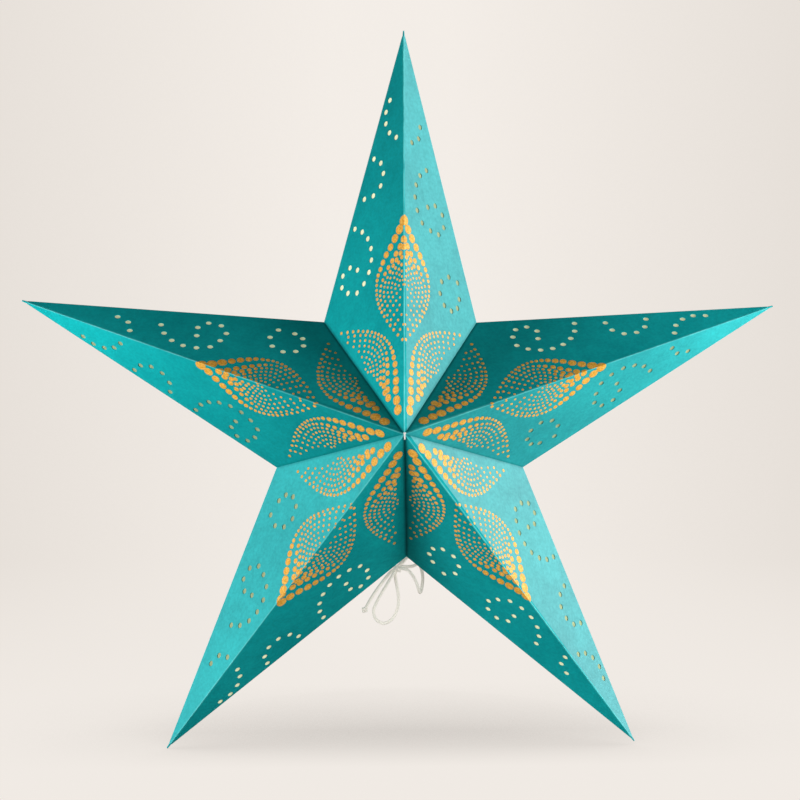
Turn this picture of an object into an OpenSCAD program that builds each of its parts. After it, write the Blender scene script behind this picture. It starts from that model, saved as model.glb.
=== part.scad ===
// Five-pointed folded paper star shade, laced shut with a cord.
// X is to the right, Z is up and the front of the star looks towards -Y.
// The origin is the corner between the two lower arms, where the star is laced and held.
// All lengths are in millimetres and all angles in degrees.

/* [Star] */
// Width of the star from the left tip to the right tip
star_w = 600; // [400:5:800]
// Distance from the centre of the star to the corner between two arms
corner_reach = 103.5; // [85:0.5:125]
// Distance from the middle of the star to the front peak, and to the back peak
half_depth = 98; // [75:1:120]

/* [Paper] */
// Thickness of the printed paper
paper_t = 0.5; // [0.3:0.05:1]
// Thickness of the tissue behind the punched holes
tissue_t = 0.2; // [0.1:0.05:0.3]
// Width of the glue tabs that turn inwards between two arms
tab_w = 12; // [8:0.5:16]
// How much wider the clockwise tabs of an arm are cut than the others
tab_extra = 0.5; // [0.3:0.1:2]
// Diameter of a punched light hole
hole_d = 4.4; // [3:0.1:6]
// Length of the pinched nib at the end of an arm
nib_len = 9; // [5:0.5:14]
// Width of the nib
nib_w = 1.6; // [1.2:0.1:2.5]

/* [Hand folding] */
// Turn of the top arm about the centre
top_lean = -0.4; // [-1:0.1:1]
// Turn of the lower right arm about the centre
lower_right_lean = 0.8; // [-1:0.1:1]
// Turn of the left arm about the centre
left_lean = -0.5; // [-1:0.1:1]
// Turn of the laced corner about the centre
laced_lean = 2.8; // [-3:0.1:3]
// Sideways shift of the front peak
peak_x = -2; // [-4:0.5:4]
// Upward shift of the front peak
peak_z = -2; // [-4:0.5:4]

/* [Lacing] */
// Diameter of the two tie cords
cord_d = 2.5; // [2:0.1:3]
// Diameter of the hole for the right-hand cord and of the notch for the left-hand one
lace_hole_d = 4; // [3.6:0.1:5]
// Distance of the hole for the right-hand cord from the laced corner
right_lace = 10.5; // [9:0.5:12]
// Distance of the hole and the notch behind the middle of the star, where the folds hide them
lace_back = 3.2; // [2.8:0.1:4]
// Height of the notch in the glue tabs above the laced corner
notch_h = 8; // [6:0.5:10]
// Diameter of the thread that closes each peak
thread_d = 1.3; // [1:0.1:1.6]
// Length of the thread stitch on each peak
stitch_len = 7; // [5:0.5:9]

/* [Hidden] */

// Colours of the paper, the tissue and the cord
PAPER = "#149a9c";
TISSUE = "#e3dcc0";
CORD = "#d9d4c8";

// Arms are numbered clockwise from the top one, and corner k lies between arms k and k + 1
ARMS = 5;
STEP = 360 / ARMS;
LACED = 2;
LEANS = [top_lean, 0, lower_right_lean, 0, left_lean];
reach = star_w / (2 * cos(STEP / 4));
big = 3 * reach;

function unit(v) = v / norm(v);
function polar(r, a) = [r * cos(a), 0, r * sin(a)];
function tip(k) = polar(reach, 90 - STEP * k + LEANS[k]);
function corner(k) = polar(corner_reach, 90 - STEP * (k + 0.5) + (k == LACED ? laced_lean : 0));

// Side 1 of an arm is the clockwise one, and side -1 the other
function side_corner(k, side) = corner((side > 0 ? k : k + ARMS - 1) % ARMS);
// Face -1 is the front and face 1 the back
function peak(face) = face < 0 ? [peak_x, -half_depth, peak_z] : [0, half_depth, 0];

// Normal of the plane through a, b and c that points away from the point inner
function away(a, b, c, inner) =
    let (n = unit(cross(b - a, c - a)))
    n * (inner - a) > 0 ? -n : n;

// Unit vectors of a panel: along its ridge from the peak, and across it to the corner
function along(k, face) = unit(tip(k) - peak(face));
function across(k, face, side) =
    let (e = along(k, face), w = side_corner(k, side) - peak(face))
    unit(w - (w * e) * e);
ridge_len = norm(tip(0) - peak(1));
panel_h = (corner(0) - peak(1)) * across(0, 1, 1);

// Matrix that carries X, Y and Z to the vectors x, y and z, and the origin to p
function frame(x, y, z, p) = [
    [x[0], y[0], z[0], p[0]],
    [x[1], y[1], z[1], p[1]],
    [x[2], y[2], z[2], p[2]],
    [0, 0, 0, 1]
];

// Everything behind the plane through p with the outward normal n
module behind(p, n) {
    x = unit(cross(n, abs(n[2]) < 0.9 ? [0, 0, 1] : [1, 0, 0]));
    multmatrix(frame(x, cross(n, x), n, p))
        translate([-big / 2, -big / 2, -big]) cube(big);
}

// The four panel planes of an arm, each moved inwards by inset
module cone(k, inset) {
    intersection_for (q = [[-1, -1], [-1, 1], [1, -1], [1, 1]]) {
        n = away(tip(k), peak(q[0]), side_corner(k, q[1]), tip(k) / 2);
        behind(tip(k) - inset * n, n);
    }
}

// The wedge between the two planes in which an arm is glued to its neighbours, moved inwards
module wedge(k, inset) {
    intersection_for (side = [-1, 1]) {
        n = away(side_corner(k, side), peak(-1), peak(1), tip(k) / 2);
        behind(peak(1) - inset * n, n);
    }
}

// The gap between the two glue tabs of one side, cut through that side of the wedge
module tab_window(k, side) {
    v = side_corner(k, side);
    f = peak(-1);
    y = unit(peak(1) - f);
    z = away(v, f, peak(1), tip(k) / 2);
    x = cross(y, z);
    length = norm(peak(1) - f);
    c = [(v - f) * x, (v - f) * y];
    w = side > 0 ? tab_w + tab_extra : tab_w;
    low = w * norm(c) / abs(c[0]);
    high = w * norm([c[0], length - c[1]]) / abs(c[0]);
    share = (length - low - high) / length;
    point = [0, low] + share * c;
    start = [0, low] - 0.03 * share * c;
    end = [0, length - high] + 0.03 * ([0, length - high] - point);
    back = [-c[0] / abs(c[0]) * w, 0];
    multmatrix(frame(x, y, z, f))
        translate([0, 0, -3 * paper_t])
            linear_extrude(4 * paper_t)
                polygon([start, point, end, end + back, start + back]);
}

// The end of the arm, where the paper is pinched into a slim nib
module nib(k) {
    z = unit(tip(k));
    x = [0, 1, 0];
    multmatrix(frame(x, cross(z, x), z, tip(k) - nib_len * z))
        rotate(STEP)
            cylinder(h = nib_len, d1 = 1.6 * nib_w, d2 = 0.7 * nib_w, $fn = 24);
}

// Punched curls in flat paper coordinates for a ridge of 330 and a panel of 92:
// [place along the ridge, place across, first radius, last radius, first angle, last angle, holes]
DRAWN_RIDGE = 330;
DRAWN_PANEL = 92;
LEFT_CURLS = [
    [261.5, -0.7, 22, 22, 154, 50, 5],
    [216, 40, 17, 16, 161, 340, 6],
    [136, 61.5, 10.5, 10.5, 308, 525, 5],
    [150, 66.5, 29.5, 29.5, 206, 340, 8]
];
RIGHT_CURLS = [
    [251, 5.5, 14, 14, 167, 78, 3],
    [194.5, 41.5, 29, 29, 330, 224, 6],
    [181, 37.5, 12, 12, 207, -48, 6],
    [123, 57.5, 16, 11, 34, -270, 8]
];

// How far each front panel lay off under the punch, along its ridge and across, arm by arm
LEFT_SLIPS = [[1.5, 0], [2.5, -1], [-1.5, 0], [-1.5, 2.5], [0, 1]];
RIGHT_SLIPS = [[2, 1.5], [1, 0], [-3, -2], [-2, -1], [0, 0]];

// A curl of holes through one panel
module curl(c, slip, k, face, side) {
    scale_u = ridge_len / DRAWN_RIDGE;
    scale_v = panel_h / DRAWN_PANEL;
    x = along(k, face);
    y = across(k, face, side);
    last = c[6] - 1;
    for (i = [0:last]) {
        a = c[4] + (c[5] - c[4]) * i / last;
        r = c[2] + (c[3] - c[2]) * i / last;
        u = scale_u * (c[0] + slip[0] + r * cos(a));
        v = scale_v * (c[1] + slip[1] + r * sin(a));
        multmatrix(frame(x, y, cross(x, y), peak(face) + u * x + v * y))
            cylinder(h = 4 * paper_t, d = hole_d, center = true, $fn = 24);
    }
}

// All holes of an arm: seen from either face, the left panel has the left curls
module punching(k) {
    for (face = [-1, 1], side = [-1, 1]) {
        left = face * side > 0;
        slips = left ? LEFT_SLIPS : RIGHT_SLIPS;
        for (c = left ? LEFT_CURLS : RIGHT_CURLS)
            curl(c, face < 0 ? slips[k] : [0, 0], k, face, side);
    }
}

// The way of the cords into the two lower arms: a notch at the laced corner for the left-hand
// cord, and a hole through the fold of the lower right arm for the right-hand one
module lacing(k) {
    v = corner(LACED) + [0, lace_back, 0];
    up = -unit(corner(LACED));
    y = [0, 1, 0];
    if (k == LACED || k == LACED + 1)
        multmatrix(frame(cross(up, y), y, -up, v + up * notch_h))
            rotate(STEP) cylinder(h = 2 * notch_h, d = lace_hole_d, $fn = 24);
    if (k == LACED) {
        edge = unit(tip(k) - corner(k));
        multmatrix(frame(edge, y, cross(edge, y), v + edge * right_lace))
            rotate(STEP) cylinder(h = 3 * lace_hole_d, d = lace_hole_d, center = true, $fn = 24);
    }
}

// One arm: four panels folded from one sheet, its tabs, its nib and its holes
module arm(k) {
    color(PAPER)
        translate(-corner(LACED))
            difference() {
                union() {
                    difference() {
                        intersection() {
                            cone(k, 0);
                            wedge(k, 0);
                            behind(tip(k) * (1 - nib_len / 2 / reach), unit(tip(k)));
                        }
                        intersection() {
                            cone(k, paper_t);
                            wedge(k, paper_t);
                        }
                        tab_window(k, -1);
                        tab_window(k, 1);
                    }
                    nib(k);
                }
                punching(k);
                lacing(k);
            }
}

// Distances from the centre between which the tissue backs an arm
lining_gap = 3;
lining_from = corner_reach * cos(STEP / 2) + lining_gap;
lining_to = 0.86 * reach;

// The tissue glued behind the punched panels of one arm
module lining(k) {
    z = unit(tip(k));
    color(TISSUE)
        translate(-corner(LACED))
            difference() {
                intersection() {
                    cone(k, paper_t);
                    behind(lining_to * z, z);
                    behind(lining_from * z, -z);
                }
                cone(k, paper_t + tissue_t);
                lacing(k);
            }
}

// The thread stitch that closes the two lower arms at a peak, just outside the seam
module stitch(face) {
    start = peak(face) + [0, 1.5 * face * thread_d, 0.1 * stitch_len];
    valley = unit(corner(LACED) - peak(face));
    end = peak(face) + 0.8 * stitch_len * valley + [0, 1.1 * face * thread_d, 0];
    z = unit(end - start);
    x = unit(cross(z, [1, 0, 0]));
    color("white")
        translate(-corner(LACED)) {
            multmatrix(frame(x, cross(z, x), z, start))
                cylinder(h = norm(end - start), d = thread_d, $fn = 24);
            translate(start) sphere(d = 1.2 * thread_d, $fn = 24);
            translate(end) sphere(d = 1.2 * thread_d, $fn = 24);
        }
}

// Places along the left-hand cord, from inside the lower left arm through the bow to its end
LEFT_CORD = [
    [-3.8, 3.2, 9], [-1.8, 3.2, 5.4], [-0.3, 3.2, 1.6], [-0.5, 3.2, -1.8], [-2.6, 3, -4.8],
    [-6, 2.4, -7.3], [-9.6, 1.2, -10.2], [-13.8, 0.5, -13.6], [-20.5, 0, -22], [-26.8, 0, -31],
    [-31.8, 0, -39.6], [-33.4, 0, -42.6]
];
// Places along the right-hand cord, from inside the lower right arm through both loops of the bow
RIGHT_CORD = [
    [13.5, 3.2, 0], [11.6, 3.2, -2.3], [9.7, 3.2, -4.6], [7.4, 3, -6.9], [4.6, 2.4, -8],
    [1, 1.6, -8.2], [-3.5, 1, -8.2], [-8, -0.9, -10.6], [-11.6, -1.8, -15.2], [-16.6, -1.6, -23.5],
    [-21.7, -1, -32.1], [-25.4, -0.4, -39.8], [-26.3, 0, -45.4], [-23.9, 0, -50.6],
    [-18.4, 0, -53.4], [-12.6, 0, -51], [-8.5, 0, -45.3], [-6.4, 0, -38.4], [-6.4, 0.4, -31.5],
    [-7.5, 1.4, -24], [-8.8, 2, -16.5], [-8.4, 0.8, -12.2], [-5.6, -1.8, -9.6], [-1.6, -3.2, -9.6],
    [2.2, -3, -11.6], [5.6, -2.2, -16.2], [8.6, -0.6, -22.6], [10.2, 2, -27.7], [11.5, 6.4, -29.6],
    [12.7, 10.7, -27.9], [13.6, 12.8, -23.2], [13.9, 13.6, -17.6], [12.6, 13.8, -10.8],
    [9.2, 13, -5], [4, 11, -1.4], [-1.2, 8.6, -2.8], [-6, 5.2, -8.2]
];
BOW = [-7.2, 0.5, -10.1];
KNOT_W = 2.6 * cord_d;
KNOT_DEPTH = 3.9 * cord_d;
KNOT_ROUND = 4.2 * cord_d;
STOP_D = 1.8 * cord_d;
END_D = 1.8 * cord_d;
SIDES = 8;

// Point at share t of the way from p[i] to p[i + 1] on a smooth curve through all of p
function smooth(p, i, t) =
    let (n = len(p) - 1, a = p[max(i - 1, 0)], b = p[i], c = p[min(i + 1, n)], d = p[min(i + 2, n)])
    0.5 * (2 * b + (c - a) * t + (2 * a - 5 * b + 4 * c - d) * t * t + (3 * b - a - 3 * c + d) * pow(t, 3));
function smooth_path(p) =
    [for (i = [0:len(p) - 2], t = [0, 0.5]) smooth(p, i, t), p[len(p) - 1]];
function square_off(v, d) = unit(v - (v * d) * d);

// A tube of the cord's width, swept along a smooth curve through the places p
module cord(p) {
    path = smooth_path(p);
    last = len(path) - 1;
    dirs = [for (i = [0:last]) unit(path[min(i + 1, last)] - path[max(i - 1, 0)])];
    ups = [for (i = 0, n = square_off([0, 1, 0], dirs[0]); i <= last;
        i = i + 1, n = i <= last ? square_off(n, dirs[i]) : n) n];
    points = [for (i = [0:last], s = [0:SIDES - 1])
        path[i] + cord_d / 2 * (cos(360 * s / SIDES) * ups[i]
            + sin(360 * s / SIDES) * cross(dirs[i], ups[i]))];
    walls = [for (i = [0:last - 1], s = [0:SIDES - 1])
        [i * SIDES + s, i * SIDES + (s + 1) % SIDES,
            (i + 1) * SIDES + (s + 1) % SIDES, (i + 1) * SIDES + s]];
    near_end = [for (s = [SIDES - 1:-1:0]) s];
    far_end = [for (s = [0:SIDES - 1]) last * SIDES + s];
    polyhedron(points, concat([near_end], walls, [far_end]));
}

// The tight part of the bow, in which all strands cross
module knot() {
    translate(BOW)
        intersection() {
            rotate([90, 0, 0]) cylinder(h = KNOT_DEPTH, d = KNOT_W, center = true, $fn = 32);
            sphere(d = KNOT_ROUND, $fn = 32);
        }
}

// The knot that keeps one end of a cord from slipping
module ball(place, d) {
    translate(place) sphere(d = d, $fn = 32);
}

// The strands of the left-hand cord outside its knots
module left_tie_cord() {
    color(CORD)
        difference() {
            cord(LEFT_CORD);
            knot();
            ball(LEFT_CORD[0], STOP_D);
            ball(LEFT_CORD[len(LEFT_CORD) - 1], END_D);
        }
}

// The strands of the right-hand cord outside its knots
module right_tie_cord() {
    color(CORD)
        difference() {
            cord(RIGHT_CORD);
            knot();
            ball(RIGHT_CORD[0], STOP_D);
        }
}

arm(0);  // arm_top
arm(1);  // arm_right
arm(2);  // arm_lower_right
arm(3);  // arm_lower_left
arm(4);  // arm_left
lining(0);  // lining_top
lining(1);  // lining_right
lining(2);  // lining_lower_right
lining(3);  // lining_lower_left
lining(4);  // lining_left
stitch(-1);  // front_stitch
stitch(1);  // back_stitch
left_tie_cord();
right_tie_cord();
color(CORD) knot();  // bow_knot
color(CORD) ball(LEFT_CORD[0], STOP_D);  // left_stop_knot
color(CORD) ball(RIGHT_CORD[0], STOP_D);  // right_stop_knot
color(CORD) ball(LEFT_CORD[len(LEFT_CORD) - 1], END_D);  // end_knot
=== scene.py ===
# %% [markdown]
# Paper star: the looks around the folded star.
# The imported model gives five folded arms, their tissue linings, two thread stitches and the tie
# cords as plain solids. This file gives each of them its surface, prints the gold dots, and makes
# the cords, knots and threads again as they look. Blender works in metres, so every size below
# that comes from the star's own drawing is in millimetres and passes through MM first.

# %% Load the frame
import math
import random

import bpy
from mathutils import Matrix, Vector


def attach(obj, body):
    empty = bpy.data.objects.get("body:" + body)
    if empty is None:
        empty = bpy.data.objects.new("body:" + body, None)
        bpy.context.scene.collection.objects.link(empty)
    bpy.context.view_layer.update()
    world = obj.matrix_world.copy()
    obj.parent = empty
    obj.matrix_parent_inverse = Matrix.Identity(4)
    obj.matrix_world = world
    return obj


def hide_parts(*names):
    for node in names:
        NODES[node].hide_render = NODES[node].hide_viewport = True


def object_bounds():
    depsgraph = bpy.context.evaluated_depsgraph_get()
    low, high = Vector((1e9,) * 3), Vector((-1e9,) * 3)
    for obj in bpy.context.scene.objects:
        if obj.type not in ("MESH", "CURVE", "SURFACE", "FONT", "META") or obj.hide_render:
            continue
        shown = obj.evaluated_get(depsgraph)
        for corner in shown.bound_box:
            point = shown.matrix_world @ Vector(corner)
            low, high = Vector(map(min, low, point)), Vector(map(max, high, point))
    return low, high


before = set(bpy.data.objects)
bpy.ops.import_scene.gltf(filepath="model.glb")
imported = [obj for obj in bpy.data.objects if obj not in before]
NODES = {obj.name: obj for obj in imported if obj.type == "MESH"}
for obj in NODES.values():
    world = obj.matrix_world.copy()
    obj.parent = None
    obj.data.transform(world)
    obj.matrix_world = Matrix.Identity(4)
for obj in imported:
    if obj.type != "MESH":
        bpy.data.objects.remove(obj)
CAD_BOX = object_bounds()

MM = 0.001
BODY = "root"
print("nodes:", len(NODES), "box:", [round(x, 3) for x in CAD_BOX[0]], [round(x, 3) for x in CAD_BOX[1]])

# %% [markdown]
# The star's own lines. Everything that is printed on the paper, and the light and shade painted
# onto it, follows its folds, so the tips, the inner corners and the two peaks are worked out here
# once more from the few sizes that the star was drawn with. Reading them from the mesh would also
# work, but a formula is exact and says what the shape is: five points on one circle, five corners on
# a smaller one, and a peak on either face.

# %% The folds of the star
ARMS = 5
STEP = 360 / ARMS
STAR_W = 600
CORNER_REACH = 103.5
HALF_DEPTH = 98
REACH = STAR_W / (2 * math.cos(math.radians(STEP / 4)))
LEANS = [-0.4, 0, 0.8, 0, -0.5]
LACED = 2
LACED_LEAN = 2.8
FRONT, BACK = -1, 1
PEAKS = {FRONT: Vector((-2, -HALF_DEPTH, -2)), BACK: Vector((0, HALF_DEPTH, 0))}
ARM_NAMES = ["top", "right", "lower_right", "lower_left", "left"]


def polar(reach, degrees):
    """A point in the star's middle plane."""
    turn = math.radians(degrees)
    return Vector((reach * math.cos(turn), 0, reach * math.sin(turn)))


def corner_about_centre(k):
    return polar(CORNER_REACH, 90 - STEP * (k + 0.5) + (LACED_LEAN if k == LACED else 0))


CENTRE = -corner_about_centre(LACED)
TIPS = [CENTRE + polar(REACH, 90 - STEP * k + LEANS[k]) for k in range(ARMS)]
CORNERS = [CENTRE + corner_about_centre(k) for k in range(ARMS)]


def panel(k, face, side):
    """One flat panel of an arm: its peak, the way along the ridge, the way across, its normal."""
    peak = CENTRE + PEAKS[face]
    along = (TIPS[k] - peak).normalized()
    far = (CORNERS[k] if side > 0 else CORNERS[(k + ARMS - 1) % ARMS]) - peak
    across = (far - along * along.dot(far)).normalized()
    normal = along.cross(across)
    if normal.y * face < 0:
        normal = -normal
    return peak, along, across, normal


print("centre above the laced corner:", [round(x, 1) for x in CENTRE])

# %% [markdown]
# The camera. The photograph was taken from a little left of the star's middle and a little above
# it, from about five times the length of an arm away, with a long lens. A camera that close still
# shows perspective: the peak, which is nearer, looks larger. The place was found by lining up the
# tips and corners, so here it is only three numbers, a turn and a lens.

# %% Camera
CAMERA_FROM_CENTRE = Vector((-82.6, -1577.2, 50.6))
CAMERA_TURN = (88.955, -0.08, -2.986)
LENS = 89.08

camera_data = bpy.data.cameras.new("camera")
camera = bpy.data.objects.new("camera", camera_data)
bpy.context.scene.collection.objects.link(camera)
camera.location = (CENTRE + CAMERA_FROM_CENTRE) * MM
camera.rotation_euler = [math.radians(a) for a in CAMERA_TURN]
camera_data.lens = LENS
camera_data.clip_end = 50
bpy.context.scene.camera = camera
bpy.context.view_layer.update()
print("camera at", [round(x, 3) for x in camera.location])

# %% [markdown]
# Helpers for modelling. Each new piece starts with nothing selected, and ends with its place in
# its mesh and its object at the origin. A curve is the natural way to draw anything that is bent
# from cord or thread: its points are the middle of the cord, and a round bevel gives it its
# thickness. It is then made a mesh, so that a pattern can follow its length through the UV map.

# %% Helpers
def deselect():
    if bpy.context.object is not None and bpy.context.object.mode != "OBJECT":
        bpy.ops.object.mode_set(mode="OBJECT")
    bpy.ops.object.select_all(action="DESELECT")


def activate(obj):
    deselect()
    obj.select_set(True)
    bpy.context.view_layer.objects.active = obj


def spline_points(places, per_span):
    """Points on a smooth curve through all the places."""
    found = []
    last = len(places) - 1
    for i in range(last):
        a, b, c, d = (Vector(places[j]) for j in (max(i - 1, 0), i, i + 1, min(i + 2, last)))
        for n in range(per_span):
            t = n / per_span
            found.append(0.5 * (2 * b + (c - a) * t + (2 * a - 5 * b + 4 * c - d) * t ** 2
                                + (3 * b - a - 3 * c + d) * t ** 3))
    return found + [Vector(places[last])]


def tube(name, points, diameter, sides=4, closed=False):
    """A round tube in metres along points in millimetres, as a mesh with a UV map."""
    data = bpy.data.curves.new(name, "CURVE")
    data.dimensions = "3D"
    data.bevel_depth = diameter * MM / 2
    data.bevel_resolution = sides
    data.use_fill_caps = not closed
    line = data.splines.new("POLY")
    line.points.add(len(points) - 1)
    for place, point in zip(points, line.points):
        point.co = (*(Vector(place) * MM), 1)
    line.use_cyclic_u = closed
    obj = bpy.data.objects.new(name, data)
    bpy.context.scene.collection.objects.link(obj)
    activate(obj)
    bpy.ops.object.convert(target="MESH")
    bpy.ops.object.mode_set(mode="EDIT")
    bpy.ops.mesh.select_all(action="SELECT")
    bpy.ops.mesh.remove_doubles(threshold=1e-6)
    bpy.ops.mesh.normals_make_consistent(inside=False)
    bpy.ops.object.mode_set(mode="OBJECT")
    bpy.ops.object.shade_smooth_by_angle(angle=math.radians(50))
    return obj


def length_of(points):
    return sum((b - a).length for a, b in zip(points, points[1:]))


# %% [markdown]
# The tie cords. The two lower arms aren't glued to each other, because the light goes in between
# them. Two cords close them: one comes out at the corner, the other through a hole in the fold of
# the right-hand arm, and the two are tied in a bow. The places below are the same ones as in the
# solid model. The curve runs smoothly through them, as limp cotton does.

# %% Tie cords
CORD_D = 2.5
LEFT_CORD = [
    (-3.8, 3.2, 9), (-1.8, 3.2, 5.4), (-0.3, 3.2, 1.6), (-0.5, 3.2, -1.8), (-2.6, 3, -4.8),
    (-6, 2.4, -7.3), (-9.6, 1.2, -10.2), (-13.8, 0.5, -13.6), (-20.5, 0, -22), (-26.8, 0, -31),
    (-31.8, 0, -39.6), (-33.4, 0, -42.6),
]
RIGHT_CORD = [
    (13.5, 3.2, 0), (11.6, 3.2, -2.3), (9.7, 3.2, -4.6), (7.4, 3, -6.9), (4.6, 2.4, -8),
    (1, 1.6, -8.2), (-3.5, 1, -8.2), (-8, -0.9, -10.6), (-11.6, -1.8, -15.2), (-16.6, -1.6, -23.5),
    (-21.7, -1, -32.1), (-25.4, -0.4, -39.8), (-26.3, 0, -45.4), (-23.9, 0, -50.6),
    (-18.4, 0, -53.4), (-12.6, 0, -51), (-8.5, 0, -45.3), (-6.4, 0, -38.4), (-6.4, 0.4, -31.5),
    (-7.5, 1.4, -24), (-8.8, 2, -16.5), (-8.4, 0.8, -12.2), (-5.6, -1.8, -9.6), (-1.6, -3.2, -9.6),
    (2.2, -3, -11.6), (5.6, -2.2, -16.2), (8.6, -0.6, -22.6), (10.2, 2, -27.7), (11.5, 6.4, -29.6),
    (12.7, 10.7, -27.9), (13.6, 12.8, -23.2), (13.9, 13.6, -17.6), (12.6, 13.8, -10.8),
    (9.2, 13, -5), (4, 11, -1.4), (-1.2, 8.6, -2.8), (-6, 5.2, -8.2),
]
PER_SPAN = 6

left_path = spline_points(LEFT_CORD, PER_SPAN)
right_path = spline_points(RIGHT_CORD, PER_SPAN)
left_cord = tube("left_cord", left_path, CORD_D)
right_cord = tube("right_cord", right_path, CORD_D)
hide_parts("left_tie_cord")
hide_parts("right_tie_cord")
print("cord lengths in mm:", round(length_of(left_path)), round(length_of(right_path)))

# %% [markdown]
# The knots. A knot in soft cord is the cord itself going round and through. Three turns of a
# closed trefoil, pulled small, look like the overhand knot that stops a cord from slipping. The
# tight part of the bow is a cord laid round the bundle in one and a half turns, with its ends
# tucked in behind.

# %% Knots
KNOT_STEPS = 60
KNOT_TILT = 35
END_KNOT_D = 4.5
STOP_KNOT_D = 4.5
END_KNOT_CORD_D = 2.1
STOP_KNOT_CORD_D = 2.3
BOW = Vector((-7.2, 0.5, -10.1))


def overhand_knot(name, place, across, thread, turn):
    """A trefoil of the given outer size, made of cord of the given thickness."""
    size = (across - thread) / 2 / 3
    points = []
    for i in range(KNOT_STEPS):
        t = 2 * math.pi * i / KNOT_STEPS
        points.append(Vector((math.sin(t) + 2 * math.sin(2 * t),
                              -math.sin(3 * t),
                              math.cos(t) - 2 * math.cos(2 * t))) * size)
    tilted = Matrix.Rotation(math.radians(KNOT_TILT), 3, "X")
    turned = Matrix.Rotation(math.radians(turn), 3, "Y") @ tilted
    return tube(name, [Vector(place) + turned @ p for p in points], thread, 3, True)


end_knot = overhand_knot("cord_end_knot", LEFT_CORD[-1], END_KNOT_D * 1.25, END_KNOT_CORD_D, 20)
left_stop = overhand_knot("left_inner_knot", LEFT_CORD[0], STOP_KNOT_D * 1.1, STOP_KNOT_CORD_D, 0)
right_stop = overhand_knot("right_inner_knot", RIGHT_CORD[0], STOP_KNOT_D * 1.1, STOP_KNOT_CORD_D, 60)
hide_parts("end_knot")
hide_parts("left_stop_knot")
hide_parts("right_stop_knot")

WRAP_STEPS = 44
WRAP_TURNS = 1.6
WRAP_R = 2.3
WRAP_PITCH = 2.4
WRAP_DEPTH = 3.6
WRAP_CORD_D = 2.2
lay_of_bundle = Vector((0.62, 0, 0.78))
side_of_bundle = Vector((0.78, 0, -0.62))
wrap = []
for i in range(WRAP_STEPS):
    share = i / (WRAP_STEPS - 1)
    turn = 2 * math.pi * (WRAP_TURNS * share + 0.3)
    wrap.append(BOW + lay_of_bundle * WRAP_PITCH * (share - 0.5)
                + side_of_bundle * WRAP_R * math.cos(turn)
                + Vector((0, -WRAP_DEPTH * math.sin(turn), 0)))
bow_wrap = tube("bow_wrap", wrap, WRAP_CORD_D)
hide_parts("bow_knot")
KNOTS = [end_knot, left_stop, right_stop, bow_wrap]

# %% [markdown]
# The threads at the peaks. A few stitches of white thread hold the two lower arms together where
# the unglued seam starts. A thread is spun from finer yarns, so each stitch is two yarns laid
# round each other along the line of the plain rod in the solid model, with a small knot at the
# upper end.

# %% Threads
THREAD_D = 1.3
STITCH_LEN = 7
UPPER_END, UPPER_LIFT = 0.1, 1.5  # share of the length above the peak, thicknesses off it
LOWER_END, LOWER_LIFT = 0.8, 1.1  # share of the length down the valley, thicknesses off it
YARN_STEPS = 40
YARN_TURNS = 3
YARN_D = 0.5 * THREAD_D
YARN_OFF = 0.24 * THREAD_D


def stitch_line(face):
    """The two ends of a stitch, just off the paper."""
    peak = PEAKS[face]
    valley = (corner_about_centre(LACED) - peak).normalized()
    start = peak + Vector((0, UPPER_LIFT * face * THREAD_D, UPPER_END * STITCH_LEN))
    end = peak + valley * LOWER_END * STITCH_LEN + Vector((0, LOWER_LIFT * face * THREAD_D, 0))
    return CENTRE + start, CENTRE + end


def stitch(name, face):
    """Two twisted yarns and the knot at their upper end, as one piece."""
    start, end = stitch_line(face)
    lay = (end - start).normalized()
    side = lay.cross(Vector((0, 1, 0))).normalized()
    out = lay.cross(side)
    yarns = []
    for half in (0, math.pi):
        points = []
        for i in range(YARN_STEPS):
            share = i / (YARN_STEPS - 1)
            turn = 2 * math.pi * YARN_TURNS * share + half
            points.append(start.lerp(end, share)
                          + (side * math.cos(turn) + out * math.sin(turn)) * YARN_OFF)
        yarns.append(tube(f"{name}_yarn", points, YARN_D, 3))
    yarns.append(overhand_knot(f"{name}_knot", start, THREAD_D * 1.6, YARN_D, 0))
    deselect()
    for yarn in yarns:
        yarn.select_set(True)
    bpy.context.view_layer.objects.active = yarns[0]
    bpy.ops.object.join()
    yarns[0].name = name
    return yarns[0]


front_thread = stitch("front_thread", FRONT)
back_thread = stitch("back_thread", BACK)
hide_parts("front_stitch")
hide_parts("back_stitch")

# %% [markdown]
# The gold print. Each panel carries half of a leaf along its ridge and half of another beside its
# valley, drawn in rows of dots that lie inside each other like the layers of an onion. The dots
# are large at the point of the leaf and small at its round end, where they also stand wider apart.
# The ink is thick, so a dot is a low button with a soft edge. One button is modelled, and
# then its mesh is stamped wherever the rows call for a dot. Dots on the ridge are bent over it: each
# of the two panels prints its own part.

# %% One printed dot
DOT_SIDES = 14
SMALL_DOT_SIDES = 10
SMALL_BELOW = 1.9
WALL_SHARE = 0.6
SOFT_EDGE = 0.22
CROWN_SHARE = 0.4
INK_T = 0.12


def dot_shape(sides):
    """Vertices (x, y, height) and faces of one dot of radius 1."""
    deselect()
    bpy.ops.mesh.primitive_circle_add(vertices=sides, radius=1, fill_type="NGON")
    obj = bpy.context.object
    bpy.ops.object.mode_set(mode="EDIT")
    bpy.ops.mesh.select_all(action="SELECT")
    bpy.ops.mesh.extrude_region_move(TRANSFORM_OT_translate={"value": (0, 0, WALL_SHARE)})
    bpy.ops.mesh.inset(thickness=SOFT_EDGE, depth=CROWN_SHARE)
    bpy.ops.mesh.select_all(action="SELECT")
    bpy.ops.mesh.normals_make_consistent(inside=False)
    bpy.ops.object.mode_set(mode="OBJECT")
    places = [(v.co.x, v.co.y, v.co.z) for v in obj.data.vertices]
    faces = [tuple(p.vertices) for p in obj.data.polygons]
    bpy.data.objects.remove(obj)
    return places, faces


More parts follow.
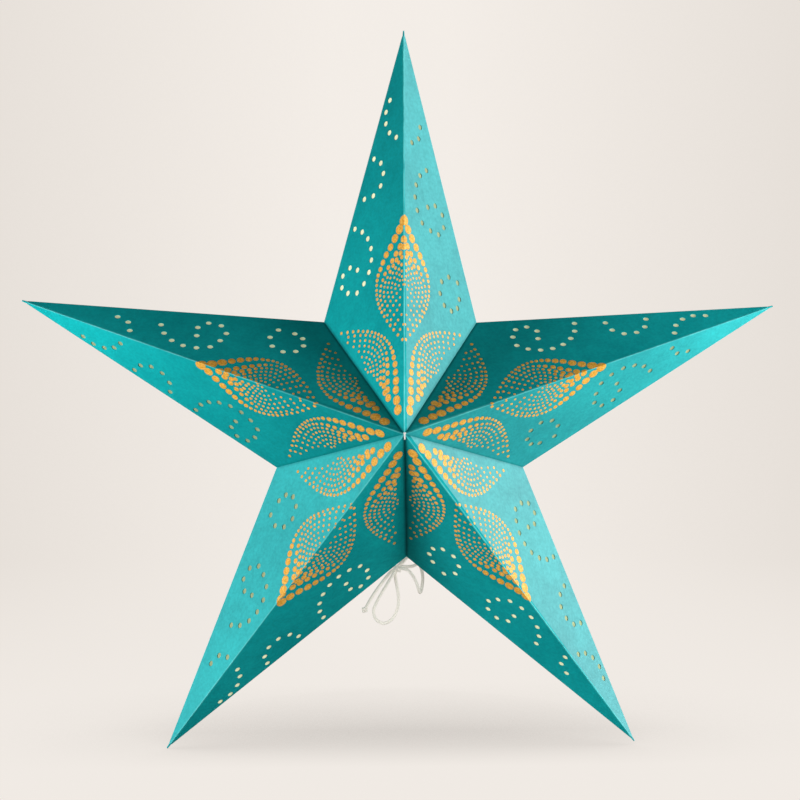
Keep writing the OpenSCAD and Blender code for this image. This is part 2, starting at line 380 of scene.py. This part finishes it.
DOT = dot_shape(DOT_SIDES)
SMALL_DOT = dot_shape(SMALL_DOT_SIDES)
print("faces of a dot:", len(DOT[1]), "and of a small one:", len(SMALL_DOT[1]))

# %% The rows of a leaf
RIDGE_LEAF = {"tip": (171.5, 0.6), "lay": (-1, 0), "side": (0, 1), "length": 98, "width": 30.2}
FLANK_LEAF = {"tip": (20, 6.2), "lay": (0.753, 0.657), "side": (0.657, -0.753), "length": 100.5,
              "width": 28.8}
ROW_GAP = 4.2
ROW_STARTS = [0, 15.5, 21.7, 27, 33, 38.5, 43, 47]
ROW_TIP_R = [4.3, 2.9, 2.6, 2.0, 1.5, 1.3, 1.2, 1.1]
ROW_END_R = [1.35, 1.2, 1.1, 1.05, 1.0, 1.0, 1.0, 1.0]
ROW_TAPER = [0.45, 0.42, 0.34, 0.3, 0.3, 0.3, 0.3, 0.3]
ROW_SHORTENS = 6.4
ROWS_FROM_FOLD = 3
FOLD_GAP = 2.0
FIRST_ROW_GAP, OTHER_ROW_GAP = 0.5, 1.6
ROUND_END_GAP = 4.6
LEAST_PITCH = 3.9
POINT_SLIMNESS = 1.25
FADE_CURVE = 0.85


def row_of_dots(row, length, width):
    """Places along the leaf, out from its middle line, and radius, for one row of one half."""
    start = ROW_STARTS[row]
    end = length - ROW_SHORTENS * row
    half_w = width - ROW_GAP * row
    dots = []
    share = 0
    if row >= ROWS_FROM_FOLD:  # starts where the row has come out of the fold by the gap
        share = (min(FOLD_GAP, 0.9 * half_w) / half_w) ** (1 / POINT_SLIMNESS) / math.pi
    while share < 1:
        swell = math.sin(math.pi * share)
        if share < 0.5:
            swell = swell ** POINT_SLIMNESS
        fade = max(0, 1 - share / ROW_TAPER[row])
        r = ROW_END_R[row] + (ROW_TIP_R[row] - ROW_END_R[row]) * fade ** FADE_CURVE
        dots.append((start + (end - start) * share, half_w * swell, r))
        pitch = 2.0 * r + (FIRST_ROW_GAP if row == 0 else OTHER_ROW_GAP)
        if share > 0.5:
            pitch += ROUND_END_GAP * ((share - 0.5) / 0.5) ** 1.2
        pitch = max(pitch, LEAST_PITCH)
        slope = half_w * math.pi * math.cos(math.pi * share)
        share += pitch / math.hypot(end - start, slope)
    return dots


def leaf_dots(leaf):
    """All dots of one half of a leaf, in flat paper coordinates."""
    found = []
    for row in range(len(ROW_STARTS)):
        for x, y, r in row_of_dots(row, leaf["length"], leaf["width"]):
            u = leaf["tip"][0] + leaf["lay"][0] * x + leaf["side"][0] * y
            v = leaf["tip"][1] + leaf["lay"][1] * x + leaf["side"][1] * y
            found.append((u, v, r))
    return found


# %% [markdown]
# The sheets were printed flat and folded by hand, so on each panel the print lies a little off its
# fold. The slips below say by how much, along the ridge and across, for the front panels on the
# left and on the right of each arm. A leaf that has slipped over the ridge shows the dots of its
# other half there too.

# %% Printing an arm
RIDGE_SLIPS = {
    -1: [(0, 0), (0.5, -1.5), (-1, 0), (-2, 3.5), (-0.5, 2)],
    1: [(0, 0), (0.5, 1.5), (-3, -1.5), (-4.5, -2), (-2, -1.5)],
}
FLANK_SLIPS = {
    -1: [(0.5, 1), (0, 0.5), (-0.5, 0), (-1, 3), (0, 2.5)],
    1: [(0, 0), (0, 1), (-1.5, 0), (-2.5, 0), (-1, 0)],
}
OTHER_HALF_FROM = 1
PAST_FOLD = 0.35
PLACE_JITTER = 0.25
SIZE_JITTER = 0.07
SUNK = 0.02


def stamp(dot, origin, along, across, normal, u, v, r, places, faces, rims):
    """Adds one dot, cut off at the fold."""
    first = len(places)
    for x, y, z in dot[0]:
        across_v = max(v + y * r, 0)
        lift = z * INK_T - SUNK if z > 0 else -SUNK
        places.append((origin + along * (u + x * r) + across * across_v + normal * lift) * MM)
        rims.append(min(1, math.hypot(x, y)))
    faces.extend(tuple(first + i for i in face) for face in dot[1])


def printed_arm(k):
    """All dots of one arm, front and back, as one mesh."""
    draw = random.Random(100 + k)
    places, faces, rims = [], [], []
    for face in (FRONT, BACK):
        for side in (-1, 1):
            peak, along, across, normal = panel(k, face, side)
            slip_u, slip_v = RIDGE_SLIPS[side][k] if face == FRONT else (0, 0)
            flank_u, flank_v = FLANK_SLIPS[side][k] if face == FRONT else (0, 0)
            ridge = leaf_dots(RIDGE_LEAF)
            both = [(u + slip_u, slip_v + v, r) for u, v, r in ridge]
            both += [(u + slip_u, slip_v - v, r) for u, v, r in ridge if v > OTHER_HALF_FROM]
            both += [(u + flank_u, v + flank_v, r) for u, v, r in leaf_dots(FLANK_LEAF)]
            for u, v, r in both:
                if v + PAST_FOLD * r < 0:
                    continue
                on_fold = abs(v) < r
                u += draw.uniform(-PLACE_JITTER, PLACE_JITTER)
                v += 0 if on_fold else draw.uniform(-PLACE_JITTER, PLACE_JITTER)
                r *= 1 + draw.uniform(-SIZE_JITTER, SIZE_JITTER)
                dot = DOT if r > SMALL_BELOW else SMALL_DOT
                stamp(dot, peak, along, across, normal, u, v, r, places, faces, rims)
    mesh = bpy.data.meshes.new(f"gold_print_{ARM_NAMES[k]}")
    mesh.from_pydata(places, [], faces)
    rim = mesh.attributes.new("rim", "FLOAT", "POINT")
    rim.data.foreach_set("value", rims)
    obj = bpy.data.objects.new(mesh.name, mesh)
    bpy.context.scene.collection.objects.link(obj)
    activate(obj)
    bpy.ops.object.mode_set(mode="EDIT")
    bpy.ops.mesh.select_all(action="SELECT")
    bpy.ops.mesh.normals_make_consistent(inside=False)
    bpy.ops.object.mode_set(mode="OBJECT")
    bpy.ops.object.shade_smooth_by_angle(angle=math.radians(40))
    return obj


gold = [printed_arm(k) for k in range(ARMS)]
print("faces of the print:", [len(g.data.polygons) for g in gold])

# %% [markdown]
# Node materials. A material is a small network: texture nodes make patterns from coordinates, maths
# nodes shape them, and the shader turns them into a surface. These helpers keep the networks short.

# %% Material helpers
def new_material(name, roughness, specular):
    material = bpy.data.materials.new(name)
    material.use_nodes = True
    nodes = material.node_tree.nodes
    shader = nodes["Principled BSDF"]
    shader.inputs["Roughness"].default_value = roughness
    shader.inputs["Specular IOR Level"].default_value = specular
    return material, nodes, material.node_tree.links, shader


def add(nodes, kind, **settings):
    node = nodes.new(kind)
    for key, value in settings.items():
        setattr(node, key, value)
    return node


def maths(nodes, links, operation, first, second=0.0):
    node = add(nodes, "ShaderNodeMath", operation=operation)
    for socket, value in zip(node.inputs, (first, second)):
        if isinstance(value, (int, float)):
            socket.default_value = value
        else:
            links.new(value, socket)
    return node.outputs[0]


def noise(nodes, links, vector, scale, detail=4.0, roughness=0.5):
    node = add(nodes, "ShaderNodeTexNoise")
    node.inputs["Scale"].default_value = scale
    node.inputs["Detail"].default_value = detail
    node.inputs["Roughness"].default_value = roughness
    links.new(vector, node.inputs["Vector"])
    return node.outputs["Fac"]


def spread(nodes, links, value, low, high, to_low, to_high):
    """Maps a value from one range to another and keeps it inside."""
    node = add(nodes, "ShaderNodeMapRange", clamp=True)
    links.new(value, node.inputs["Value"])
    for socket, number in zip(("From Min", "From Max", "To Min", "To Max"), (low, high, to_low, to_high)):
        node.inputs[socket].default_value = number
    return node.outputs["Result"]


def mix(nodes, links, share, first, second, blend="MIX"):
    node = add(nodes, "ShaderNodeMix", data_type="RGBA", blend_type=blend)
    links.new(share, node.inputs["Factor"])
    for index, value in ((6, first), (7, second)):
        if isinstance(value, tuple):
            node.inputs[index].default_value = (*value, 1)
        else:
            links.new(value, node.inputs[index])
    return node.outputs[2]


def from_point(nodes, links, place, point):
    """Coordinates measured from a point given in millimetres."""
    node = add(nodes, "ShaderNodeVectorMath", operation="SUBTRACT")
    links.new(place, node.inputs[0])
    node.inputs[1].default_value = tuple(point * MM)
    return node.outputs[0]


def along_way(nodes, links, place, way):
    """How far a place lies along a way, in metres."""
    node = add(nodes, "ShaderNodeVectorMath", operation="DOT_PRODUCT")
    links.new(place, node.inputs[0])
    node.inputs[1].default_value = tuple(way)
    return node.outputs["Value"]


def scaled(nodes, links, colour, factor):
    """A colour made lighter or darker by a factor."""
    node = add(nodes, "ShaderNodeVectorMath", operation="SCALE")
    links.new(colour, node.inputs[0])
    links.new(factor, node.inputs["Scale"])
    return node.outputs[0]


def bump(nodes, links, shader, height, strength, distance):
    node = add(nodes, "ShaderNodeBump")
    node.inputs["Strength"].default_value = strength
    node.inputs["Distance"].default_value = distance
    links.new(height, node.inputs["Height"])
    links.new(node.outputs["Normal"], shader.inputs["Normal"])


# %% [markdown]
# The paper. It is handmade and dyed: a strong teal that is slightly cloudy, with short fibres in its
# surface. Along the ridges a thin, broken, paler line is a painted highlight, and along the valleys
# a dark band is painted shade. All fold lines are straight and leave from a peak, so a coordinate
# turned to lie along a fold gives the distance from it. Each arm gets its own copy of the material
# with its own lines.
#
# The two sides of an arm also differ, by painted light and shade. The side that looks towards the
# lamps is painted a little paler and less pure in colour, by adding red. A table gives each arm a
# painted tone at the centre of the star and one at the tip, first for the lit side and then for the
# shaded one. Both are light and shade painted into the colour, not the paper's own: they give the
# soft falloff that the lamps leave out.

# %% Paper
LIT_SIDES = [1, 1, -1, 1, -1]  # 1 or -1: which side of the ridge looks towards the lamps
CLOUD_SCALE, FLECK_SCALE, FIBRE_SCALE = 14, 110, 420
# Size of the patches in the painted ridge highlight.
RIDGE_HIGHLIGHT_SCALE = 60
# Painted falloff: the distances from the centre, in metres, between which the painted tone changes.
PAINTED_FALLOFF_REACH = (0.03, 0.25)
PAPER_DEEP = (0.002, 0.292, 0.305)
PAPER_CLEAR = (0.004, 0.340, 0.350)
# Painted light: red added on the side of each arm that looks towards the lamps.
PAPER_PAINTED_LIT_RED = [0.066, 0.019, 0.085, 0.026, 0.0]
# Painted light and shade: for each arm (lit centre, lit tip), then (shaded centre, shaded tip).
PAPER_PAINTED_TONES = [
    ((1.08, 1.26), (1.06, 0.72)),
    ((0.86, 1.27), (0.76, 1.14)),
    ((1.11, 1.14), (0.70, 1.07)),
    ((1.26, 1.25), (0.97, 0.86)),
    ((0.65, 1.20), (0.95, 1.12)),
]
# Painted highlight along the ridges, and painted shade along the valleys, stronger on the shaded side of
# an arm than on the lit one.
PAPER_RIDGE_HIGHLIGHT = (0.12, 0.60, 0.60)
PAPER_VALLEY_SHADE = (0.001, 0.08, 0.085)
RIDGE_HIGHLIGHT_W = 0.8 * MM
VALLEY_SHADE_W = 2.1 * MM
LIT_VALLEY_SHADE, SHADED_VALLEY_SHADE = 0.35, 0.85


def line_mask(nodes, links, place, face, target, width, soft):
    """1 on the straight fold from a peak towards the target point, seen from the front or back."""
    peak = CENTRE + PEAKS[face]
    lay = Vector((target.x - peak.x, 0, target.z - peak.z)).normalized()
    side = Vector((lay.z, 0, -lay.x))
    off = along_way(nodes, links, from_point(nodes, links, place, peak), side)
    distance = maths(nodes, links, "ABSOLUTE", off)
    line = spread(nodes, links, distance, soft * width, width, 1, 0)
    depth = add(nodes, "ShaderNodeSeparateXYZ")
    links.new(place, depth.inputs[0])
    beyond = maths(nodes, links, "MULTIPLY", depth.outputs["Y"], float(face))
    return maths(nodes, links, "MULTIPLY", line, maths(nodes, links, "GREATER_THAN", beyond, 0.001))


def strongest(nodes, links, masks):
    """The largest of several masks at each place."""
    found = masks[0]
    for mask in masks[1:]:
        found = maths(nodes, links, "MAXIMUM", found, mask)
    return found


def lit_side(nodes, links, place, k):
    """1 on the side of an arm that looks towards the lamps and 0 beyond its ridge."""
    to_tip = (TIPS[k] - CENTRE).normalized()
    lit_way = Vector((to_tip.z, 0, -to_tip.x)) * LIT_SIDES[k]
    off = along_way(nodes, links, from_point(nodes, links, place, CENTRE), lit_way)
    return maths(nodes, links, "GREATER_THAN", off, 0.0)


def painted_falloff(nodes, links, place, k, lit):
    """Painted light and shade: a tone from the centre of the star to the tips, on each side of the ridge.
    """
    reach = add(nodes, "ShaderNodeVectorMath", operation="DISTANCE")
    links.new(place, reach.inputs[0])
    reach.inputs[1].default_value = tuple(CENTRE * MM)
    lit_tone, shaded_tone = (spread(nodes, links, reach.outputs["Value"], *PAINTED_FALLOFF_REACH, *ends)
                             for ends in PAPER_PAINTED_TONES[k])
    return mix(nodes, links, lit, shaded_tone, lit_tone)


def paper(k):
    """Dyed paper of one arm, with painted shade along its valleys, a painted highlight along its ridges
    and painted light and shade on its two sides.
    """
    name = f"paper_{ARM_NAMES[k]}"
    material, nodes, links, shader = new_material(name, roughness=0.8, specular=0.06)
    place = add(nodes, "ShaderNodeTexCoord").outputs["Object"]
    clouds = noise(nodes, links, place, CLOUD_SCALE, 5, 0.55)
    fibres = noise(nodes, links, place, FIBRE_SCALE, 3, 0.6)
    flecks = noise(nodes, links, place, FLECK_SCALE, 4, 0.6)
    lit = lit_side(nodes, links, place, k)
    dye_and_painted_light = mix(nodes, links, spread(nodes, links, clouds, 0.36, 0.64, 0, 1), PAPER_DEEP, PAPER_CLEAR)
    # Painted light: the lit side gets red added, so it reads paler and less pure.
    dye_and_painted_light = mix(nodes, links, lit, dye_and_painted_light, (PAPER_PAINTED_LIT_RED[k], 0.0, 0.0), "ADD")
    grain = maths(nodes, links, "MULTIPLY", spread(nodes, links, fibres, 0.35, 0.65, 0.92, 1.08),
                  spread(nodes, links, flecks, 0.3, 0.7, 0.94, 1.06))
    # Painted light and shade from the centre to the tip, different on the lit and the shaded side.
    tone = maths(nodes, links, "MULTIPLY", grain, painted_falloff(nodes, links, place, k, lit))
    # Painted shade along the valleys, stronger on the shaded side of the arm.
    valleys = [line_mask(nodes, links, place, face, CORNERS[corner], VALLEY_SHADE_W, 0.0)
               for face in (FRONT, BACK) for corner in (k, (k + ARMS - 1) % ARMS)]
    valley_shade = maths(nodes, links, "MULTIPLY", strongest(nodes, links, valleys),
                   spread(nodes, links, lit, 0, 1, SHADED_VALLEY_SHADE, LIT_VALLEY_SHADE))
    valley_shaded = mix(nodes, links, valley_shade, scaled(nodes, links, dye_and_painted_light, tone), PAPER_VALLEY_SHADE)
    # Painted highlight: a thin, broken, paler line along the ridges.
    ridges = [line_mask(nodes, links, place, face, TIPS[k], RIDGE_HIGHLIGHT_W, 0.2)
              for face in (FRONT, BACK)]
    patchy = spread(nodes, links, noise(nodes, links, place, RIDGE_HIGHLIGHT_SCALE, 3), 0.35, 0.65, 0.25, 0.9)
    ridge_highlight = maths(nodes, links, "MULTIPLY", strongest(nodes, links, ridges), patchy)
    links.new(mix(nodes, links, ridge_highlight, valley_shaded, PAPER_RIDGE_HIGHLIGHT), shader.inputs["Base Color"])
    bump(nodes, links, shader, fibres, 0.12, 0.0004)
    return material


for k in range(ARMS):
    arm = NODES[f"arm_{ARM_NAMES[k]}"]
    arm.data.materials.clear()
    arm.data.materials.append(paper(k))

# %% [markdown]
# Tissue, ink, cord and thread. Tissue is thin and creamy, with soft cloudy fibres. Behind the panels
# in the shade it is painted bright and given a painted glow, so the holes glow; behind the panels
# that face a lamp it is painted dull and greenish, as painted shade. The ink is a
# matt gold, lighter in the middle of a dot and more orange at its rim, where it dried thicker. The
# cord is cotton in a round braid: two sets of strands that cross, which a pair of waves on the UV
# map draws. A painted glow makes the cord brighter than the lamps alone light it.
# The thread's twist is already in its shape, so it only needs a little fuzz.

# %% Tissue, ink, cord and thread
# Painted light and shade: a bright tone for the shaded side, a dull greenish one for the lit side.
TISSUE_SHADED = (0.56, 0.56, 0.38)
TISSUE_LIT = (0.30, 0.36, 0.20)
TISSUE_PAINTED_GLOW = (0.31, 0.32, 0.185)
GOLD_FACE = (0.77, 0.37, 0.026)
GOLD_LIGHT = (0.98, 0.58, 0.12)
GOLD_RIM = (0.52, 0.20, 0.010)
CORD_TONES = ((0.50, 0.48, 0.43), (0.60, 0.57, 0.52))
# Painted glow of the cord.
CORD_PAINTED_GLOW = (0.34, 0.325, 0.285)
THREAD_TONES = ((0.72, 0.70, 0.66), (0.88, 0.87, 0.84))


def tissue(k):
    """Tissue of one arm, in painted lit and shaded tones that meet behind the ridge, with a painted glow
    on the shaded side.
    """
    name = f"tissue_{ARM_NAMES[k]}"
    material, nodes, links, shader = new_material(name, roughness=0.9, specular=0.1)
    place = add(nodes, "ShaderNodeTexCoord").outputs["Object"]
    cloud = noise(nodes, links, place, 120, 5, 0.6)
    lit = lit_side(nodes, links, place, k)
    tone = mix(nodes, links, lit, TISSUE_SHADED, TISSUE_LIT)
    cloudy = scaled(nodes, links, tone, spread(nodes, links, cloud, 0.35, 0.65, 0.9, 1.1))
    links.new(cloudy, shader.inputs["Base Color"])
    # Painted glow, on the shaded side of the arm only.
    shader.inputs["Emission Color"].default_value = (*TISSUE_PAINTED_GLOW, 1)
    links.new(maths(nodes, links, "SUBTRACT", 1.0, lit), shader.inputs["Emission Strength"])
    return material


def gold_ink():
    """Thick matt ink, blotched towards the rim of each dot."""
    material, nodes, links, shader = new_material("gold_ink", roughness=0.55, specular=0.35)
    place = add(nodes, "ShaderNodeTexCoord").outputs["Object"]
    rim = add(nodes, "ShaderNodeAttribute", attribute_name="rim").outputs["Fac"]
    patches = noise(nodes, links, place, 750, 4, 0.6)
    face = mix(nodes, links, spread(nodes, links, patches, 0.42, 0.6, 0, 1), GOLD_FACE, GOLD_LIGHT)
    edge = spread(nodes, links, rim, 0.5, 1.0, 0, 1.0)
    blot = maths(nodes, links, "MULTIPLY", edge, spread(nodes, links, patches, 0.3, 0.6, 1, 0.5))
    links.new(mix(nodes, links, blot, face, GOLD_RIM), shader.inputs["Base Color"])
    bump(nodes, links, shader, patches, 0.35, 0.0002)
    return material


BRAID_ALONG = 1.5
BRAID_ROUND = 4
KNOT_CORD_LEN = 40


def braid(name, length):
    """Cord whose strands cross every few millimetres along its length."""
    material, nodes, links, shader = new_material(name, roughness=0.85, specular=0.15)
    uv = add(nodes, "ShaderNodeUVMap").outputs["UV"]
    split = add(nodes, "ShaderNodeSeparateXYZ")
    links.new(uv, split.inputs[0])
    turns = length / (BRAID_ALONG * CORD_D)
    strands = []
    for way in (1, -1):
        along = maths(nodes, links, "MULTIPLY", split.outputs["X"], turns * 2 * math.pi)
        round_it = maths(nodes, links, "MULTIPLY", split.outputs["Y"], way * BRAID_ROUND * 2 * math.pi)
        strands.append(maths(nodes, links, "SINE", maths(nodes, links, "ADD", along, round_it)))
    height = maths(nodes, links, "MAXIMUM", strands[0], strands[1])
    share = spread(nodes, links, height, -0.4, 1, 0, 1)
    links.new(mix(nodes, links, share, *CORD_TONES), shader.inputs["Base Color"])
    bump(nodes, links, shader, height, 0.15, 0.0002)
    # Painted glow: the cord shines by itself, brighter than the lamps alone light it.
    shader.inputs["Emission Color"].default_value = (*CORD_PAINTED_GLOW, 1)
    shader.inputs["Emission Strength"].default_value = 1.0
    return material


def spun_thread():
    """Cotton thread with a fine fuzz."""
    material, nodes, links, shader = new_material("thread", roughness=0.8, specular=0.2)
    place = add(nodes, "ShaderNodeTexCoord").outputs["Object"]
    fuzz = noise(nodes, links, place, 2500, 5, 0.6)
    links.new(mix(nodes, links, spread(nodes, links, fuzz, 0.35, 0.65, 0, 1), *THREAD_TONES),
              shader.inputs["Base Color"])
    bump(nodes, links, shader, fuzz, 0.2, 0.0001)
    return material


def finish_with(obj, material):
    obj.data.materials.clear()
    obj.data.materials.append(material)


for k in range(ARMS):
    finish_with(NODES[f"lining_{ARM_NAMES[k]}"], tissue(k))
ink = gold_ink()
for obj in gold:
    finish_with(obj, ink)
finish_with(left_cord, braid("left_cord_braid", length_of(left_path)))
finish_with(right_cord, braid("right_cord_braid", length_of(right_path)))
knot_braid = braid("knot_braid", KNOT_CORD_LEN)
for obj in KNOTS:
    finish_with(obj, knot_braid)
thread = spun_thread()
for obj in (front_thread, back_thread):
    finish_with(obj, thread)

# %% [markdown]
# What moves with what. The star is one body, so every new piece rides on it.

# %% Riding
for obj in [left_cord, right_cord, *KNOTS, front_thread, back_thread, *gold]:
    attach(obj, BODY)

# %% [markdown]
# Floor and light. The floor is one pale sheet that rises behind the star in a wide curve, so that
# no edge shows. Two lamps stand on the right and one on the left, all only a little in front of the
# star: their light grazes the panels, and the tall ridges throw whole panels into shade. Next to
# nothing shines from above, so the panels that face up are the darkest. To the camera the sheet is
# a backdrop with its light and shade painted in: a little brighter behind the star, darker towards
# both sides, and a painted shadow where the floor lies close behind the feet of the star. Beyond its
# edges the camera sees a room of the same pale tone, which sends almost no light of its own.

# %% Floor and backdrop
FLOOR_Z = CAD_BOX[0].z
FLOOR_HALF_W = 6
FLOOR_FRONT = -3
SWEEP_START = 1.6
SWEEP_R = 1.2
SWEEP_STEPS = 24
WALL_TOP = 5
FLOOR_COLOUR = (0.35, 0.335, 0.32)
BACKDROP_FLOOR = (0.872, 0.824, 0.776)
BACKDROP_WALL = (0.903, 0.853, 0.803)
BACKDROP_EDGE = (0.79, 0.74, 0.69)
BACKDROP_SHADE = (0.50, 0.47, 0.44)
CAMERA_DISTANCE = 1.6
BRIGHTEST_SLANT = 0.0275
SLANTS = (0.03, 0.22)
WALL_FADES_IN = (0.1, 1.5)
SHADE_FADES_IN = (-0.08, 0.07)
SHADE_REACH = 0.3
OPENNESS = (0.5, 0.98)

profile = [(FLOOR_FRONT, FLOOR_Z), (SWEEP_START, FLOOR_Z)]
for i in range(1, SWEEP_STEPS + 1):
    turn = math.pi / 2 * i / SWEEP_STEPS
    profile.append((SWEEP_START + SWEEP_R * math.sin(turn), FLOOR_Z + SWEEP_R * (1 - math.cos(turn))))
profile.append((SWEEP_START + SWEEP_R, WALL_TOP))
sheet = bpy.data.meshes.new("floor")
sheet.from_pydata([(x, y, z) for y, z in profile for x in (-FLOOR_HALF_W, FLOOR_HALF_W)], [],
                  [(2 * i, 2 * i + 1, 2 * i + 3, 2 * i + 2) for i in range(len(profile) - 1)])
floor = bpy.data.objects.new("floor", sheet)
bpy.context.scene.collection.objects.link(floor)
activate(floor)
bpy.ops.object.shade_smooth()
material, nodes, links, shader = new_material("floor_paper", roughness=0.9, specular=0.1)
shader.inputs["Base Color"].default_value = (*FLOOR_COLOUR, 1)
place = add(nodes, "ShaderNodeTexCoord").outputs["Object"]
split = add(nodes, "ShaderNodeSeparateXYZ")
links.new(place, split.inputs[0])
depth = maths(nodes, links, "ADD", split.outputs["Y"], CAMERA_DISTANCE)
slant = maths(nodes, links, "DIVIDE", split.outputs["X"], depth)
slant = maths(nodes, links, "ABSOLUTE", maths(nodes, links, "SUBTRACT", slant, BRIGHTEST_SLANT))
far = spread(nodes, links, split.outputs["Y"], *WALL_FADES_IN, 0, 1)
# Painted shadow on the backdrop, where the star stands close in front of it.
openness = add(nodes, "ShaderNodeAmbientOcclusion", samples=8)
openness.inputs["Distance"].default_value = SHADE_REACH
closeness = spread(nodes, links, openness.outputs["AO"], *OPENNESS, 1, 0)
behind = spread(nodes, links, split.outputs["Y"], *SHADE_FADES_IN, 0, 1)
shade = maths(nodes, links, "SUBTRACT", 1.0, maths(nodes, links, "MULTIPLY", closeness, behind))
aside = spread(nodes, links, slant, *SLANTS, 0, 1)
wall = mix(nodes, links, aside, BACKDROP_WALL, BACKDROP_EDGE)
backdrop = mix(nodes, links, far, BACKDROP_FLOOR, wall)
glow = add(nodes, "ShaderNodeEmission")
links.new(mix(nodes, links, shade, BACKDROP_SHADE, backdrop), glow.inputs["Color"])
seen = add(nodes, "ShaderNodeLightPath").outputs["Is Camera Ray"]
either = add(nodes, "ShaderNodeMixShader")
links.new(seen, either.inputs[0])
links.new(shader.outputs[0], either.inputs[1])
links.new(glow.outputs[0], either.inputs[2])
links.new(either.outputs[0], nodes["Material Output"].inputs["Surface"])
floor.data.materials.append(material)

# %% Lights
LAMP_SIZE = 0.5
ROOM_LIGHT = 0.025
LIGHTS = {
    "right_light": ((1.245, -0.15, 0.28), 17),
    "right_front_light": ((1.245, -0.9, -0.03), 21),
    "left_light": ((-1.255, -0.6, -0.03), 28.5),
}
AIM = CENTRE * MM
for name, (place, power) in LIGHTS.items():
    data = bpy.data.lights.new(name, "AREA")
    data.shape = "SQUARE"
    data.size = LAMP_SIZE
    data.energy = power
    lamp = bpy.data.objects.new(name, data)
    bpy.context.scene.collection.objects.link(lamp)
    lamp.location = place
    lamp.rotation_euler = (AIM - Vector(place)).to_track_quat("-Z", "Y").to_euler()
world = bpy.data.worlds.new("world")
bpy.context.scene.world = world
world.use_nodes = True
nodes, links = world.node_tree.nodes, world.node_tree.links
nodes["Background"].inputs["Color"].default_value = (*BACKDROP_EDGE, 1)
seen = add(nodes, "ShaderNodeLightPath").outputs["Is Camera Ray"]
links.new(spread(nodes, links, seen, 0, 1, ROOM_LIGHT, 1), nodes["Background"].inputs["Strength"])
bpy.context.scene.view_settings.view_transform = "Standard"
